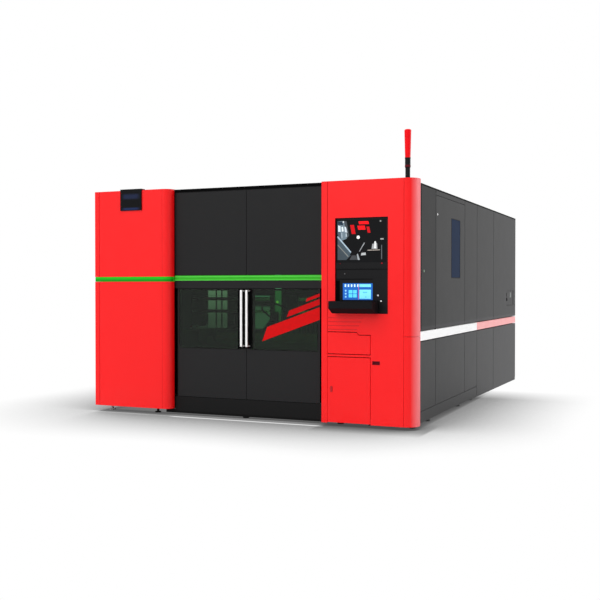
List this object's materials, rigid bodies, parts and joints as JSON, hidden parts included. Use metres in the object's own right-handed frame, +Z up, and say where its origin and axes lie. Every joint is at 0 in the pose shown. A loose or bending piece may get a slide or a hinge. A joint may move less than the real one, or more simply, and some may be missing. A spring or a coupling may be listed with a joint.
{
  "type": "enclosed fiber laser cutting machine",
  "caption": "Fully enclosed flat-bed laser cutting machine with a double door, red console column, signal lamp and a moving gantry over a slat table.",
  "frame": {"origin": "middle of the box around the machine, on the floor", "axes": "+X to the console side, +Y from the front into the depth, +Z up"},
  "size_m": [3.31, 4.87, 2.603],
  "materials": {
    "steel_frame": "satin grey paint",
    "feet": "black oxide steel",
    "bed_paint": "satin grey paint",
    "ground_steel": "ground",
    "raw_steel": "hot rolled, marked by heat",
    "red_paint": "semi-gloss powder coat",
    "green_paint": "semi-gloss",
    "black_paint": "semi-gloss black",
    "front_grey": "fine satin powder coat",
    "side_grey": "fine satin powder coat",
    "band_white": "semi-gloss",
    "band_pale": "semi-gloss",
    "liner": "satin",
    "zinc": "light grey coat",
    "fascia_black": "fine matt",
    "display_face": "glossy screen",
    "touch_face": "glossy screen",
    "indicator_red": "glossy",
    "button_white": "glossy",
    "black_plastic": "matt",
    "lens_red": "glossy translucent",
    "hose_rubber": "matt",
    "laser_glass": "green laser-safe pane",
    "blue_glass": "dark blue pane",
    "stainless": "bright brushed",
    "lock_red": "satin",
    "beam_grey": "satin"
  },
  "bodies": {
    "machine": {"feet": "feet", "frame_long": "steel_frame", "frame_cross": "steel_frame", "frame_posts": "steel_frame", "bed_beams": "bed_paint", "bed_supports": "bed_paint", "guide_rails": "ground_steel", "slat_frame": "bed_paint", "slats": "raw_steel", "slag_chutes": "raw_steel", "left_cover_upper": "red_paint", "left_cover_lower": "red_paint", "edge_trims": "red_paint", "green_bands": "green_paint", "nameplate": "black_paint", "upper_panels": "front_grey", "centre_cap": "black_paint", "header_rail": "front_grey", "kick_plate": "black_paint", "console_front": "red_paint", "console_corners": "red_paint", "cabinet_walls": "zinc", "cabinet_tops": "red_paint", "console_fascia": "fascia_black", "display": "display_face", "touch_screen": "touch_face", "indicator_lights": "indicator_red", "port_plate": "black_plastic", "right_side_panels": "side_grey", "side_band_white": "band_white", "side_band_pale": "band_pale", "switch_recess": "side_grey", "left_rear_panels": "side_grey", "roof_panels": "side_grey", "duct_collar": "ground_steel", "inner_liners": "liner", "lamp_base": "black_plastic", "lamp_lens": "lens_red", "drawer_runners": "zinc", "hinge_pins": "ground_steel"},
    "door_left": {"door_left_leaf": "front_grey", "door_left_pane": "laser_glass", "door_left_handle": "stainless"},
    "door_right": {"door_right_leaf": "front_grey", "door_right_pane": "laser_glass", "door_right_handle": "stainless"},
    "service": {"service_door": "side_grey", "service_window": "blue_glass"},
    "cupboard": {"cupboard_door": "red_paint"},
    "latch": {"cupboard_lock": "lock_red"},
    "compartment": {"compartment_door": "red_paint"},
    "tray": {"keyboard_tray": "black_paint"},
    "gantry": {"gantry_beam": "beam_grey", "gantry_rails": "ground_steel"},
    "carriage_body": {"carriage": "beam_grey", "gas_hose": "hose_rubber"},
    "head": {"cutting_head": "stainless"},
    "push_upper": {"button_upper": "button_white"},
    "push_lower": {"button_lower": "button_white"},
    "main_switch": {"switch_knob": "black_plastic"}
  },
  "joints": [
    {"name": "door_left_hinge", "type": "hinge", "parent": "machine", "child": "door_left", "pos_m": [-0.747, -2.16, 0.184], "axis": [0, 0, 1], "range_deg": [-90, 0]},
    {"name": "door_right_hinge", "type": "hinge", "parent": "machine", "child": "door_right", "pos_m": [0.719, -2.16, 0.184], "axis": [0, 0, 1], "range_deg": [0, 90]},
    {"name": "service_hinge", "type": "hinge", "parent": "machine", "child": "service", "pos_m": [1.647, -1.602, 0.86], "axis": [0, 0, 1], "range_deg": [-90, 0]},
    {"name": "cupboard_hinge", "type": "hinge", "parent": "machine", "child": "cupboard", "pos_m": [1.234, -2.259, 0.037], "axis": [0, 0, 1], "range_deg": [0, 95]},
    {"name": "latch_turn", "type": "hinge", "parent": "cupboard", "child": "latch", "pos_m": [0.879, -2.265, 0.333], "axis": [0, 1, 0], "range_deg": [-90, 0]},
    {"name": "compartment_hinge", "type": "hinge", "parent": "machine", "child": "compartment", "pos_m": [1.234, -2.259, 0.649], "axis": [0, 0, 1], "range_deg": [0, 95]},
    {"name": "tray_slide", "type": "slide", "parent": "machine", "child": "tray", "axis": [0, 1, 0], "range_m": [0, 0.15]},
    {"name": "gantry_travel", "type": "slide", "parent": "machine", "child": "gantry", "axis": [0, 1, 0], "range_m": [0, 2.8]},
    {"name": "carriage_travel", "type": "slide", "parent": "gantry", "child": "carriage_body", "axis": [1, 0, 0], "range_m": [-0.73, 0.76]},
    {"name": "head_lift", "type": "slide", "parent": "carriage_body", "child": "head", "axis": [0, 0, 1], "range_m": [-0.045, 0.06]},
    {"name": "upper_button_press", "type": "slide", "parent": "machine", "child": "push_upper", "axis": [0, 1, 0], "range_m": [0, 0.003], "stiffness_N_per_m": 300},
    {"name": "lower_button_press", "type": "slide", "parent": "machine", "child": "push_lower", "axis": [0, 1, 0], "range_m": [0, 0.003], "stiffness_N_per_m": 300},
    {"name": "main_switch_turn", "type": "hinge", "parent": "machine", "child": "main_switch", "pos_m": [1.645, 1.89, 1.083], "axis": [1, 0, 0], "range_deg": [0, 90]}
  ]
}
